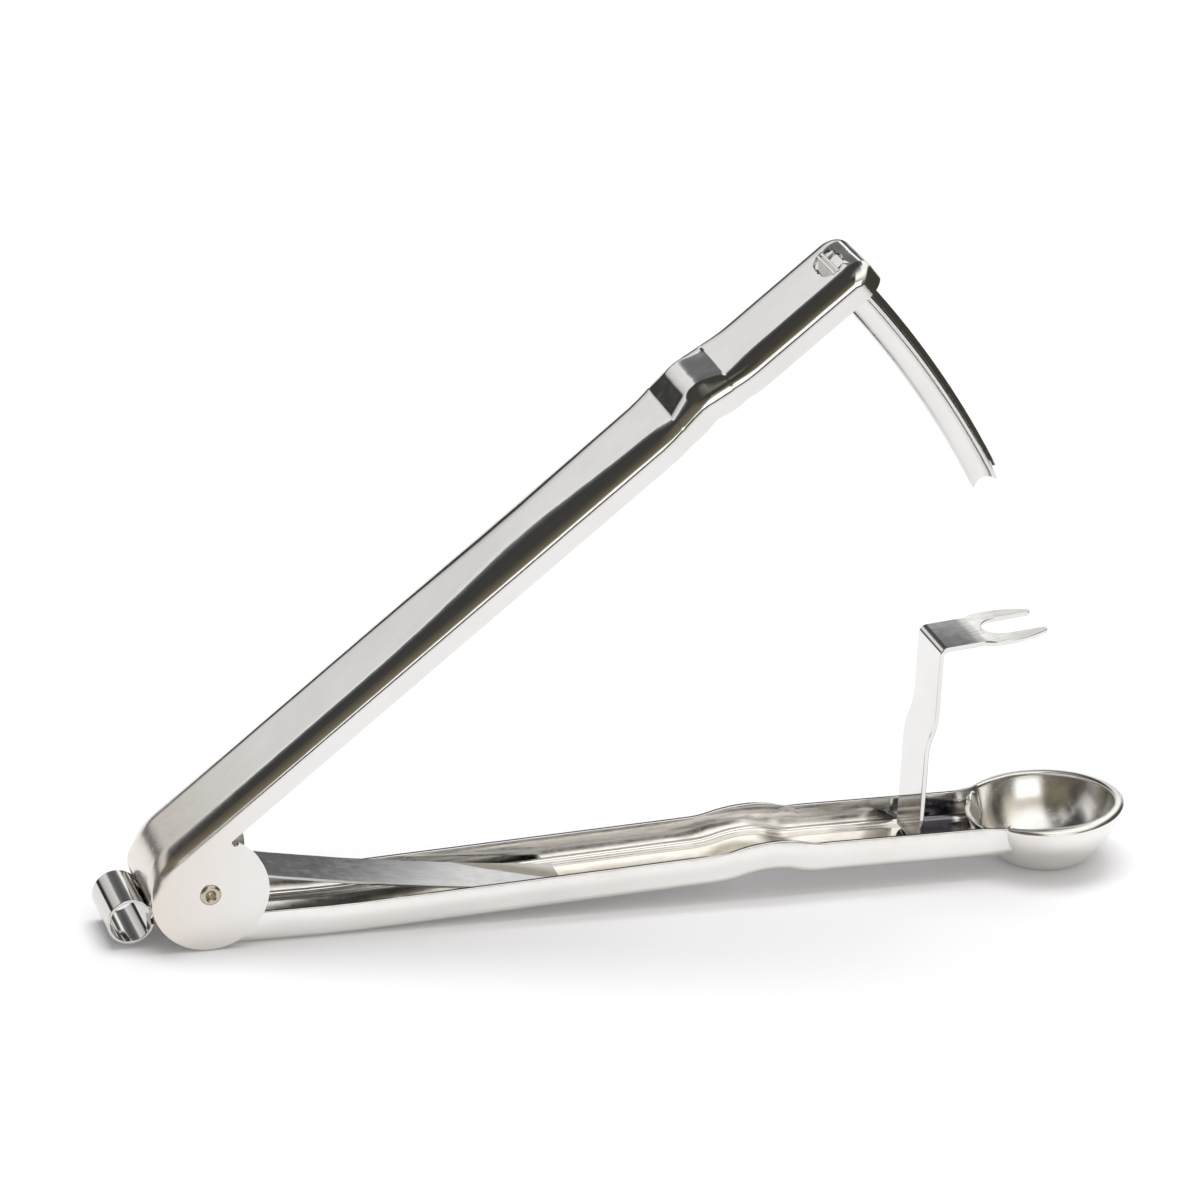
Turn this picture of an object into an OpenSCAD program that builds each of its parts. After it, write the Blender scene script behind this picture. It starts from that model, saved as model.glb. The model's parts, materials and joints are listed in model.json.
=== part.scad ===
// Cherry pitter: two pressed steel channel arms on one rivet, held open by a leaf spring.
// The upper arm carries a curved plunger, the lower arm ends in a cup with a fork over it.
// X runs from the rivet to the cup, Y across the arms and Z up, in millimetres.

/* [Sheet] */
// Thickness of the sheet that both arms are pressed from
sheet_t = 0.8; // [0.6:0.05:1]
// Gap on each side between the ears of the two arms
side_gap = 0.15; // [0.1:0.05:0.3]

/* [Pivot] */
// Height of the rivet's axis above the surface that the tool lies on
pivot_h = 9.9; // [9:0.1:11]
// How far the upper arm's ears stay above that surface
ear_lift = 0.2; // [0.1:0.1:0.6]
// Angle of the upper arm above the level, held open
open_angle = 40.3; // [36:0.1:42]
// Angle through which the upper arm closes
close_angle = 28; // [26:0.5:28]

/* [Rivet] */
// Radius of the rivet's shank
rivet_r = 1.5; // [1.2:0.1:1.8]
// Radius of the rolled ring on the near side
clinch_r = 1.9; // [1.8:0.1:2.4]
// Radius of the domed head on the far side
head_r = 2.8; // [2.3:0.1:3.5]
// Height of the domed head
head_h = 0.9; // [0.6:0.1:1.2]
// Radius of the hollow in the rolled end
hollow_r = 0.75; // [0.5:0.05:0.9]
// Depth of that hollow
hollow_depth = 2; // [1:0.25:3]
// Clearance round the shank in the upper ears, where it is tight
tight_gap = 0.02; // [0.01:0.01:0.04]
// Clearance round the shank in the lower ears, which turn on it
turn_gap = 0.05; // [0.03:0.01:0.09]

/* [Upper arm] */
// Width outside
upper_w = 18; // [16:0.25:20]
// Depth of the channel outside
upper_depth = 4.9; // [4.4:0.1:5.4]
// Outside radius of the edges along the crown
upper_edge_r = 2.4; // [1.6:0.1:2.8]
// Length from the rivet to the outside of the tip
upper_len = 145.4; // [144:0.2:150]
// Radius of the tip's two corners seen from above
tip_corner_r = 3.6; // [3:0.1:5]
// Angle by which the crown wraps round behind the rivet
crown_wrap = 60; // [40:1:64]
// Radius of the relief where each ear meets the channel's rim
notch_r = 0.6; // [0.3:0.1:1]
// Distance from the rivet to the start of the hump
upper_hump_at = 105.3; // [90:0.1:110]
// Angle of the hump's climb
climb_angle = 18; // [12:1:24]
// Height of the hump's climb
upper_climb_h = 1.4; // [0.8:0.05:1.8]
// Length of the hump's flat top
hump_top = 0.6; // [0.4:0.1:3]
// Angle of the hump's fall
fall_angle = 22; // [14:1:28]
// Height of the hump's fall
upper_fall_h = 1.65; // [1:0.05:2]
// Radius of the creases at the hump's two feet
crease_r = 1.5; // [1:0.1:3]
// Radius of the rim under the bends at the hump's top
rim_bend_r = 0.3; // [0.2:0.1:1]

/* [Lower arm] */
// Depth of the channel outside
lower_depth = 5.5; // [4.6:0.1:6]
// Outside radius of the edges along the floor
lower_edge_r = 1.8; // [1.4:0.1:2.4]
// Angle by which the floor wraps up behind the rivet
heel_wrap = 50; // [30:1:54]
// Length of the level run from the rivet
heel_run = 20; // [14:0.5:30]
// Slope of the handle beyond it
handle_slope = 2.7; // [1:0.1:4]
// Radius of the bend where the slope starts
slope_bend_r = 120; // [60:5:140]
// Length of the straight handle
handle_run = 60.4; // [50:0.2:64]
// Length of the hump's climb
lower_climb = 9.5; // [7:0.25:11]
// Height of the hump's climb
lower_climb_h = 1.15; // [0.6:0.05:1.4]
// Length of the hump's fall
lower_fall = 8.5; // [7:0.25:11]
// Height of the hump's fall
lower_fall_h = 1.4; // [0.6:0.05:1.6]
// Radius of the bend where the channel becomes level again
level_bend_r = 30; // [20:1:60]

/* [Cup] */
// Outside radius of the cup's rim
cup_r = 13.5; // [12.5:0.1:15]
// Radius of the pit hole
pit_hole_r = 4.8; // [4.2:0.1:5.2]
// Least clearance of the closed plunger in the pit hole
plunger_clear = 0.9; // [0.5:0.1:1.2]
// How far the middle of the cup lies beyond the pit hole
cup_ahead = 1.8; // [0.5:0.1:2]
// Width of the flat round the pit hole, where it is narrowest
cup_land = 0.3; // [0.2:0.1:1]

/* [Plunger] */
// Distance from the outside of the upper arm's tip back to the plunger's root
plunger_back = 4.9; // [4.6:0.1:6.4]
// Length of the curved rod under the crown
plunger_len = 48; // [44:0.5:50]
// Radius of the rod's curve
plunger_bend_r = 170; // [150:5:200]
// Outward lean of the rod at its root
plunger_lean = 5.4; // [4:0.2:6]
// Radius over the four ridges
ridge_r = 3; // [2.5:0.1:3.1]
// Width of each ridge's edge
ridge_t = 0.8; // [0.5:0.1:1.2]
// Radius of the rod between the ridges
waist_r = 1.5; // [1.3:0.1:1.8]
// Depth of the hollow in the rod's end
bite_depth = 1; // [0.5:0.1:1.3]
// Length of the staked cross, across the arm
stake_w = 8.8; // [8.4:0.1:9.4]
// Length of the staked cross, along the arm
stake_l = 5.2; // [4.8:0.1:5.6]
// Width of the cross's two bars
stake_t = 1.4; // [1:0.1:1.6]
// How far the staked cross stands above the crown
stake_proud = 0.2; // [0.1:0.05:0.4]
// Clearance round the staked cross
stake_gap = 0.03; // [0.02:0.01:0.05]
// Radius of the two round ends of the hole in the crown
stake_hole_r = 2.2; // [1.9:0.1:2.3]
// Length of that hole, across the arm
stake_hole_w = 8; // [6:0.2:8.4]

/* [Fork] */
// Thickness of the strip
fork_t = 0.8; // [0.6:0.1:1]
// Width of the strip
fork_w = 10.6; // [10:0.1:12]
// Distance from the middle of the pit hole back to the upright's face at its foot
fork_back = 22.4; // [20.4:0.2:26]
// Length of the foot beyond its bend
foot_len = 6; // [4:0.5:7]
// Radius of the bends, at the middle of the strip
fork_bend_r = 1.1; // [0.9:0.1:1.6]
// Height of the set in the upright above the channel's floor
set_at = 17.5; // [10:0.5:19]
// Length of the set
set_len = 8; // [6:0.5:10]
// Offset of the set, towards the cup
set_out = 1.4; // [0.6:0.1:1.8]
// Height of the fold's top above the surface that the tool lies on
fold_h = 41.6; // [38:0.2:41.8]
// Upward slope of the plate
plate_slope = 5.8; // [3:0.2:7]
// Distance from the upright's face to the ends of the tines
plate_reach = 19.1; // [17.5:0.1:19.5]
// Width over the tines at their widest
tines_w = 13.1; // [12.6:0.1:13.6]
// Distance from the slot's root to that widest place
claw_at = 2.6; // [1.5:0.1:4]
// Length of the shoulders, where the strip widens before the slot's root
shoulder = 1.5; // [0.8:0.1:3]
// Width of the slot between the tines
slot_w = 6.8; // [6.6:0.1:7.4]
// Length of the slot
slot_len = 9.9; // [9:0.1:11]
// Radius of the tines' ends
tine_end_r = 0.75; // [0.5:0.05:0.9]

/* [Spring] */
// Thickness of the strip
strip_t = 0.5; // [0.4:0.05:0.6]
// Width of the strip round the loop
loop_w = 11.6; // [10:0.2:12.4]
// Width of the two leaves
leaf_w = 9.4; // [8:0.2:10]
// Radius of the loop at the middle of the strip
loop_r = 3.65; // [3.3:0.05:3.8]
// Distance of the loop's centre behind the rivet
loop_back = 12.2; // [12:0.1:13]
// Distance of the loop's centre below the rivet
loop_down = 5.2; // [4.9:0.1:5.4]
// Radius of the bends at the neck, at the middle of the strip
neck_r = 0.9; // [0.7:0.05:1.1]
// Angle on the loop where the upper leaf leaves it, from the level
upper_leave = 44; // [38:1:48]
// Angle on the loop where the lower leaf leaves it, from the level
lower_leave = -10; // [-14:1:-4]
// Length of each leaf beyond the rivet
leaf_reach = 61; // [50:0.5:70]
// Clearance of the leaves to the rivet and to the arms
leaf_gap = 0.15; // [0.1:0.05:0.3]
// Sag of the lower leaf: the turn of its long curve
leaf_curve = 6.7; // [4:0.1:8]

/* [Hidden] */
$fn = 72;
steel = "#d8d6d2";
spring_steel = "#b9b8b8";
// How far a cutting solid reaches past what it cuts
beyond = 1;
// Each bend runs on into the straights beside it, a hair thinner, so that the sheet is one piece
lap = 0.05;
thinning = 0.005;
$thin = 0;
// Straight between two bends that follow each other
flat = 0.4;

ear_r = pivot_h - ear_lift;
lower_w = upper_w - 2 * (sheet_t + side_gap);
upper_rim = ear_r - upper_depth;

// A path is a list of steps in the XZ plane, each a straight run, then a turn (up is positive)
// with a bend radius. A place is [x, z, heading].
function advance(place, step) =
    let (
        heading = place[2],
        turn = step[1],
        reach = step[2] * sign(turn),
        corner = [place[0], place[1]] + step[0] * [cos(heading), sin(heading)],
        centre = corner + reach * [-sin(heading), cos(heading)],
        far = centre + reach * [sin(heading + turn), -cos(heading + turn)]
    )
    [far[0], far[1], heading + turn];
function path_end(place, steps, i = 0) =
    i == len(steps) ? place : path_end(advance(place, steps[i]), steps, i + 1);
// Points along a path, each run and each turn cut into count parts
function path_points(place, steps, count, i = 0) =
    i == len(steps) ? [] :
    concat(
        [for (k = [0:count]) advance(place, [steps[i][0] * k / count, 0, 0])],
        [for (k = [1:count]) advance(place, [steps[i][0], steps[i][1] * k / count, steps[i][2]])],
        path_points(advance(place, steps[i]), steps, count, i + 1)
    );
// Lead, then two equal bends that shift the path sideways over the length run
function joggle(lead, run, shift) =
    let (
        turn = 2 * atan(shift / (run + flat)),
        radius = (run - flat * cos(turn)) / (2 * sin(abs(turn)))
    )
    [[lead, turn, radius], [flat, -turn, radius]];
// Lead, then a slope at an angle up to a rise, with a bend of its own radius at each end
function ramp(lead, angle, rise, first_r, last_r) =
    let (slope = (rise - (first_r + last_r) * (1 - cos(angle))) / sin(angle))
    [[lead, angle, first_r], [slope, -angle, last_r]];
// The same slope downwards
function fall(lead, angle, drop, first_r, last_r) =
    [for (step = ramp(lead, angle, drop, first_r, last_r)) [step[0], -step[1], step[2]]];
// Place rounded to a thousandth, for faces that have to lie in one plane
function settled(place) = [for (value = place) round(value * 1000) / 1000];

// Upper arm's crown, from its end behind the rivet to the flat under the tip
hump_r = upper_depth + rim_bend_r;
upper_start = [-ear_r * sin(crown_wrap), ear_r * cos(crown_wrap), crown_wrap];
upper_steps = concat(
    [[0, -crown_wrap, ear_r]],
    ramp(upper_hump_at, climb_angle, upper_climb_h, crease_r, hump_r),
    fall(hump_top, fall_angle, upper_fall_h, hump_r, crease_r)
);
tip_side = settled(path_end(upper_start, upper_steps));
tip_crown = tip_side[1];
tip_run = upper_len - tip_corner_r - tip_side[0];

// Lower arm's floor, from its end behind the rivet to the level before the cup
lower_start = [-pivot_h * sin(heel_wrap), pivot_h * (1 - cos(heel_wrap)), -heel_wrap];
heel_steps = [[0, heel_wrap, pivot_h], [heel_run, handle_slope, slope_bend_r]];
lower_steps = concat(
    heel_steps,
    joggle(handle_run, lower_climb, lower_climb_h),
    joggle(flat, lower_fall, -lower_fall_h),
    [[flat, -handle_slope, level_bend_r]]
);
cup_side = settled(path_end(lower_start, lower_steps));
floor_z = cup_side[1] + sheet_t;
rim_z = cup_side[1] + lower_depth;

// Plunger's path under the crown, in the upper arm's frame, and where its end comes down when closed
plunger_at = upper_len - plunger_back;
plunger_start = [plunger_at, tip_crown - sheet_t, plunger_lean - 90];
plunger_steps = [[0, -plunger_len / plunger_bend_r * 180 / PI, plunger_bend_r]];
plunger_end = path_end(plunger_start, plunger_steps);
closed_angle = open_angle - close_angle;
closed_x = plunger_end[0] * cos(closed_angle) - plunger_end[1] * sin(closed_angle);
pit_hole_x = closed_x + pit_hole_r - ridge_r - plunger_clear;
cup_x = pit_hole_x + cup_ahead;
cup_flat_r = pit_hole_r + cup_ahead + cup_land;

// Ball that the cup is part of: it passes through the flat's edge and the rim
ball_h = (cup_r * cup_r + rim_z * rim_z - cup_flat_r * cup_flat_r) / (2 * rim_z);
ball_r = norm([cup_flat_r, ball_h]);

// Outline of a channel: flat base at 0, rounded edges, square at the open side
module channel_outline(width, depth, edge_r) {
    translate([edge_r, -width / 2]) square([depth - edge_r, width]);
    translate([0, edge_r - width / 2]) square([depth, width - 2 * edge_r]);
    for (side = [-1, 1])
        translate([edge_r, side * (width / 2 - edge_r)]) circle(edge_r);
}

// Sheet bent to a channel: height above the base along X, across along Y
module channel_section(width, depth, edge_r) {
    inner_r = edge_r - sheet_t + $thin;
    difference() {
        translate([$thin, 0]) channel_outline(width - 2 * $thin, depth - 2 * $thin, edge_r - $thin);
        translate([sheet_t - $thin, 0])
            channel_outline(width - 2 * sheet_t + 2 * $thin, depth, inner_r);
    }
}

module upper_section() {
    mirror([1, 0]) channel_section(upper_w, upper_depth, upper_edge_r);
}

module lower_section() {
    channel_section(lower_w, lower_depth, lower_edge_r);
}

module strip_section(thickness, width) {
    square([thickness - 2 * $thin, width - 2 * $thin], center = true);
}

// Sets children at a place of a path
module at(place) {
    translate([place[0], 0, place[1]]) rotate([0, -place[2], 0]) children();
}

// Draws a section straight along X
module straight(run) {
    translate([run, 0, 0]) rotate([0, -90, 0]) linear_extrude(run) children();
}

// Draws a section round one turn, starting along X
module bend(turn, radius) {
    more = lap / radius * 180 / PI;
    $thin = thinning;
    translate([0, 0, sign(turn) * radius])
        rotate([90, 0, 0])
            rotate([0, 0, turn > 0 ? -90 - more : 90 + turn - more])
                rotate_extrude(angle = abs(turn) + 2 * more)
                    translate([radius, 0])
                        mirror([turn > 0 ? 1 : 0, 0])
                            children();
}

// Draws a section along the steps of a path
module sweep(place, steps, i = 0) {
    if (i < len(steps)) {
        step = steps[i];
        at(place) {
            if (step[0] > 0)
                straight(step[0]) children();
            if (step[1] != 0)
                translate([step[0], 0, 0]) bend(step[1], step[2]) children();
        }
        sweep(advance(place, step), steps, i + 1) children();
    }
}

// Plate of one thickness, drawn in XZ, on both sides of an arm of the given width
module side_plates(width) {
    for (y = [width / 2, sheet_t - width / 2])
        translate([0, y, 0]) rotate([90, 0, 0]) linear_extrude(sheet_t) children();
}

// Cylinder across the tool, through all four ears
module cross_bore(radius) {
    rotate([90, 0, 0]) cylinder(r = radius, h = upper_w + 2 * beyond, center = true);
}

module pivot() {
    translate([0, 0, pivot_h]) children();
}

// Frame of the upper arm: X along it and Z out of its crown, from the rivet
module upper_frame() {
    pivot() rotate([0, -open_angle, 0]) children();
}

// Round ear: its full radius below the channel's rim, and up to the crown's end behind the rivet
module upper_ear() {
    from = 90 + crown_wrap - asin(sheet_t / 2 / ear_r);
    to = 360;
    rays = 6;
    rim = upper_rim + sheet_t;
    circle((upper_rim + ear_r - upper_edge_r) / 2);
    intersection() {
        circle(ear_r);
        polygon(concat(
            [[0, 0]],
            [for (i = [0:rays])
                let (angle = from + (to - from) * i / rays)
                2 * ear_r * [cos(angle), sin(angle)]],
            [[2 * ear_r, rim], [0, rim]]
        ));
    }
}

// Wall, rounded edge and crown as far as the tip's corner centre: X outwards, Y up to the crown
module tip_profile() {
    module block(reach, depth, edge_r) {
        square([reach, depth - edge_r]);
        square([reach - edge_r, depth]);
        intersection() {
            translate([reach - edge_r, depth - edge_r]) circle(edge_r);
            square([reach, depth]);
        }
    }
    translate([0, -upper_depth])
        difference() {
            block(tip_corner_r, upper_depth, upper_edge_r);
            translate([0, -beyond])
                block(tip_corner_r - sheet_t, upper_depth - sheet_t + beyond, upper_edge_r - sheet_t);
        }
}

// Drawn end of the upper arm: two rounded corners and the front wall between them
module tip() {
    half = upper_w / 2 - tip_corner_r;
    for (side = [-1, 1])
        translate([0, side * half, 0])
            rotate([0, 0, side > 0 ? 0 : -90])
                rotate_extrude(angle = 90) tip_profile();
    translate([0, half, 0]) rotate([90, 0, 0]) linear_extrude(2 * half) tip_profile();
}

// Two crossed bars, grown all round by gap
module stake_cross(gap) {
    square([stake_l + 2 * gap, stake_t + 2 * gap], center = true);
    square([stake_t + 2 * gap, stake_w + 2 * gap], center = true);
}

module stake_hole() {
    half = stake_hole_w / 2 - stake_hole_r;
    translate([plunger_at, 0, tip_crown - sheet_t - beyond])
        linear_extrude(sheet_t + 2 * beyond) {
            stake_cross(stake_gap);
            square([2 * stake_hole_r, 2 * half], center = true);
            for (side = [-1, 1])
                translate([0, side * half]) circle(stake_hole_r);
        }
}

module upper_arm() {
    color(steel) upper_frame() difference() {
        union() {
            sweep(upper_start, upper_steps) upper_section();
            at(tip_side) straight(tip_run) upper_section();
            at(tip_side) translate([tip_run, 0, 0]) tip();
            side_plates(upper_w) upper_ear();
        }
        cross_bore(rivet_r + tight_gap);
        translate([sqrt(ear_r * ear_r - upper_rim * upper_rim), 0, upper_rim]) cross_bore(notch_r);
        stake_hole();
    }
}

// Cup's ball between two heights, set in from its outside by inset
module cup_ball(inset, bottom, top) {
    translate([cup_x, 0, 0])
        intersection() {
            translate([0, 0, ball_h]) sphere(ball_r - inset);
            translate([0, 0, bottom]) cylinder(r = 2 * cup_r, h = top - bottom);
        }
}

// Level end of the channel, drawn into a round cup with the pit hole in its bottom
module cup_end() {
    difference() {
        union() {
            at(cup_side) straight(cup_x - cup_flat_r - cup_side[0])
                channel_outline(lower_w, lower_depth, lower_edge_r);
            cup_ball(0, 0, rim_z);
        }
        cup_ball(sheet_t, sheet_t, rim_z + beyond);
        at(cup_side) translate([-beyond, 0, sheet_t]) straight(cup_x - cup_side[0])
            channel_outline(lower_w - 2 * sheet_t, lower_depth, lower_edge_r - sheet_t);
        translate([pit_hole_x, 0, -beyond]) cylinder(r = pit_hole_r, h = rim_z);
    }
}

module lower_arm() {
    lower_ear_r = pivot_h - lower_edge_r - sheet_t / 2;
    color(steel) difference() {
        union() {
            sweep(lower_start, lower_steps) lower_section();
            cup_end();
            pivot() side_plates(lower_w) circle(lower_ear_r);
        }
        pivot() cross_bore(rivet_r + turn_gap);
    }
}

// Half of the rivet: shank, domed head below and rolled ring above
module rivet_profile() {
    half = upper_w / 2;
    roll = (clinch_r - hollow_r) / 2;
    dome_r = (head_r * head_r + head_h * head_h) / (2 * head_h);
    translate([0, -half]) square([rivet_r, upper_w]);
    translate([0, half]) square([clinch_r - roll, roll]);
    intersection() {
        translate([hollow_r + roll, half]) circle(roll);
        translate([0, half]) square([clinch_r, roll]);
    }
    intersection() {
        translate([0, dome_r - head_h - half]) circle(dome_r);
        translate([0, -half - head_h]) square([head_r, head_h]);
    }
}

module pivot_rivet() {
    color(steel) pivot() rotate([90, 0, 0]) difference() {
        rotate_extrude() rivet_profile();
        translate([0, 0, upper_w / 2 - hollow_depth]) cylinder(r = hollow_r, h = hollow_depth + clinch_r);
    }
}

// Four ridges with hollow flanks between them
module star_section() {
    edge = [sqrt(ridge_r * ridge_r - ridge_t * ridge_t / 4), ridge_t / 2];
    away = (ridge_r * ridge_r - waist_r * waist_r) / (sqrt(2) * (edge[0] + edge[1]) - 2 * waist_r);
    difference() {
        circle(ridge_r);
        for (quarter = [45:90:315])
            rotate(quarter) translate([away, 0]) circle(away - waist_r);
    }
}

module plunger() {
    bite_r = (ridge_r * ridge_r + bite_depth * bite_depth) / (2 * bite_depth);
    color(steel) upper_frame() {
        difference() {
            sweep(plunger_start, plunger_steps) star_section();
            at(plunger_end) translate([bite_r - bite_depth, 0, 0]) sphere(bite_r);
            translate([plunger_at - upper_w / 2, -upper_w / 2, tip_crown - sheet_t - stake_gap])
                cube([upper_w, upper_w, beyond]);
        }
        translate([plunger_at, 0, tip_crown - sheet_t - ridge_t])
            linear_extrude(sheet_t + ridge_t + stake_proud) stake_cross(0);
    }
}

// Fork's strip along its middle, from the end of the foot up to the plate
fork_x = pit_hole_x - fork_back;
fork_foot = [fork_x + fork_t / 2 + fork_bend_r + foot_len, floor_z + fork_t / 2, 180];
upright_steps = concat(
    [[foot_len, -90, fork_bend_r]],
    joggle(set_at - fork_bend_r - fork_t / 2, set_len, -set_out)
);
set_top = path_end(fork_foot, upright_steps);
fold_rise = fork_bend_r * cos(plate_slope) + fork_t / 2;
fork_steps = concat(upright_steps, [[fold_h - fold_rise - set_top[1], plate_slope - 90, fork_bend_r]]);
plate_place = path_end(fork_foot, fork_steps);
plate_len = (plate_reach + fork_x + set_out - plate_place[0]) / cos(plate_slope);

// Plate with its slot and two tines, seen from above: shoulders, then two round-backed claws
module plate_outline() {
    root = plate_len - slot_len;
    tip_x = plate_len - tine_end_r;
    tip_y = slot_w / 2 + tine_end_r;
    run = tip_x - root - claw_at;
    drop = tines_w / 2 - tip_y - tine_end_r;
    claw_r = (run * run + drop * drop) / (2 * drop);
    difference() {
        union() {
            translate([0, -fork_w / 2]) square([root, fork_w]);
            for (side = [-1, 1]) {
                intersection() {
                    translate([root + claw_at, side * (tines_w / 2 - claw_r)]) circle(claw_r);
                    polygon([
                        [root - shoulder, 0], [tip_x, 0], [tip_x, side * tines_w],
                        [root, side * tines_w / 2], [root - shoulder, side * fork_w / 2]
                    ]);
                }
                translate([tip_x, side * tip_y]) circle(tine_end_r);
            }
        }
        translate([root + slot_w / 2, 0]) circle(slot_w / 2);
        translate([root + slot_w / 2, -slot_w / 2]) square([slot_len, slot_w]);
    }
}

module fork() {
    color(steel) {
        sweep(fork_foot, fork_steps) strip_section(fork_t, fork_w);
        at(plate_place) translate([0, 0, -fork_t / 2]) linear_extrude(fork_t) plate_outline();
    }
}

// Place on the spring's loop at an angle from the level, going round it anticlockwise
function on_loop(angle) = [
    loop_r * cos(angle) - loop_back,
    loop_r * sin(angle) + pivot_h - loop_down,
    angle + 90
];
// Centre of a bend that starts at a place, side by side with the rivet
function bend_centre(place, radius, side) =
    [place[0], place[1] - pivot_h] + side * radius * [-sin(place[2]), cos(place[2])];

// Lower leaf: from the neck over the rivet, on a round of wrap_r, and down to the floor
wrap_r = rivet_r + leaf_gap + strip_t / 2;
lower_neck = advance(on_loop(lower_leave), [flat, 0, 0]);
to_rivet = -bend_centre(lower_neck, neck_r, -1);
lower_climb_angle = atan2(to_rivet[1], to_rivet[0]) + asin((wrap_r - neck_r) / norm(to_rivet));
lower_climb_run = sqrt(norm(to_rivet) ^ 2 - (wrap_r - neck_r) ^ 2);
handle_start = path_end(lower_start, heel_steps);
leaf_end_z = handle_start[1] + (leaf_reach - handle_start[0]) * tan(handle_slope)
    + (sheet_t + leaf_gap + strip_t / 2) / cos(handle_slope) - pivot_h;
leaf_end = [leaf_reach, leaf_end_z];
leaf_half = flat * cos(leaf_curve / 2) + wrap_r * sin(leaf_curve / 2);
leaf_chord = sqrt(leaf_half ^ 2 + leaf_end * leaf_end - flat ^ 2 - wrap_r ^ 2) - leaf_half;
leaf_fall = atan2(leaf_end[1], leaf_end[0])
    - atan2(wrap_r + leaf_chord * sin(leaf_curve / 2), flat + leaf_chord * cos(leaf_curve / 2));
lower_leaf_steps = [
    [flat, lower_climb_angle - lower_neck[2], neck_r],
    [lower_climb_run, leaf_fall - lower_climb_angle, wrap_r],
    [flat, leaf_curve, leaf_chord / (2 * sin(leaf_curve / 2))]
];

// Upper leaf: from the neck across the channel, to end along the inside of the crown
upper_leave_place = on_loop(upper_leave) - [0, 0, 180];
upper_neck = advance(upper_leave_place, [flat, 0, 0]);
upper_centre = bend_centre(upper_neck, neck_r, 1);
crown_inside = ear_r - sheet_t - leaf_gap - strip_t / 2;
// Height of the leaf over the rivet as it leaves the neck, at a slope above the arm's own
function leaf_height(slope) =
    upper_centre * [-sin(open_angle + slope), cos(open_angle + slope)] - neck_r;
function leaf_slope(slope, rounds) =
    rounds == 0 ? slope : leaf_slope(2 * asin((crown_inside - leaf_height(slope)) / leaf_reach), rounds - 1);
upper_slope = leaf_slope(0, 5);
upper_heading = open_angle + upper_slope;
upper_leaf_steps = [
    [flat, upper_heading - upper_neck[2], neck_r],
    [
        -(upper_centre * [cos(upper_heading), sin(upper_heading)]),
        -upper_slope, leaf_reach / (2 * sin(upper_slope / 2))
    ]
];

// The two leaves come nearest each other where they leave the neck and pass the rivet
leaf_points = [
    path_points(upper_leave_place, upper_leaf_steps, 24),
    path_points(on_loop(lower_leave), lower_leaf_steps, 24)
];
self_gap = min([for (a = leaf_points[0], b = leaf_points[1]) norm([a[0] - b[0], a[1] - b[1]])]) - strip_t;
echo(str("Least gap of the spring to itself: ", self_gap, " mm"));

module leaf_spring() {
    color(spring_steel) {
        sweep(on_loop(upper_leave), [[0, 360 - upper_leave + lower_leave, loop_r]])
            strip_section(strip_t, loop_w);
        sweep(upper_leave_place, upper_leaf_steps) strip_section(strip_t, leaf_w);
        sweep(on_loop(lower_leave), lower_leaf_steps) strip_section(strip_t, leaf_w);
    }
}

// The origin is midway between the loop's far left and the cup's far right
mid_x = (cup_x + cup_r - loop_back - loop_r - strip_t / 2) / 2;
module centred() {
    translate([-mid_x, 0, 0]) children();
}

centred() lower_arm();
centred() upper_arm();
centred() pivot_rivet();
centred() leaf_spring();
centred() plunger();
centred() fork();
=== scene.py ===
# %% [markdown]
# # A polished cherry pitter
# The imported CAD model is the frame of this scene: its pieces are already in place, in metres.
# X runs from the rivet to the cup, Y across the arms and Z up from the table.

# %% Load the frame
import json
import math
import bmesh
import bpy
from mathutils import Matrix, Vector


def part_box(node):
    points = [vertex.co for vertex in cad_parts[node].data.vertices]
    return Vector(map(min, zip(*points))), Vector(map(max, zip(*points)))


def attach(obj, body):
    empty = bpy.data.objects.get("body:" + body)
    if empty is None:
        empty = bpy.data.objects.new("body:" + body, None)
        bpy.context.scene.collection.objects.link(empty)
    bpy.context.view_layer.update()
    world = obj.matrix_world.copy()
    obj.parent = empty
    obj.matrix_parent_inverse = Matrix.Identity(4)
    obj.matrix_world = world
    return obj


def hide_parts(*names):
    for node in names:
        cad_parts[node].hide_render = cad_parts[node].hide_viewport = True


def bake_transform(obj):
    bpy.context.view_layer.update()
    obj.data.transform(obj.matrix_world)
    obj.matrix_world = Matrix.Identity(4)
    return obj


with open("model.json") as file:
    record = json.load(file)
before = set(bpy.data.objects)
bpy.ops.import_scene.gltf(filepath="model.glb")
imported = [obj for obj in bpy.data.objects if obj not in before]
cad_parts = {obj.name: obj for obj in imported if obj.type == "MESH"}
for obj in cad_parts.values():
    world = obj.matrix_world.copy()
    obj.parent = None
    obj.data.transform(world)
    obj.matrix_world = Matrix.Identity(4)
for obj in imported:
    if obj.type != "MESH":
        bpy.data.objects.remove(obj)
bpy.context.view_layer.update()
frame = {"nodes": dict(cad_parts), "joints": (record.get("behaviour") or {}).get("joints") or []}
nodes = frame["nodes"]
hinge = frame["joints"][0]
pivot = Vector(hinge["pos_m"])
print("pieces:", sorted(nodes), "pivot:", tuple(round(v, 5) for v in pivot))

# %% [markdown]
# ## Camera
# The photograph was taken with a long lens, a little above the table and a little to the left.
# The eye and the aim were fitted to points of the object, so the camera is built from those two
# points and a small roll, instead of being turned by hand until it looks right.

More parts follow.
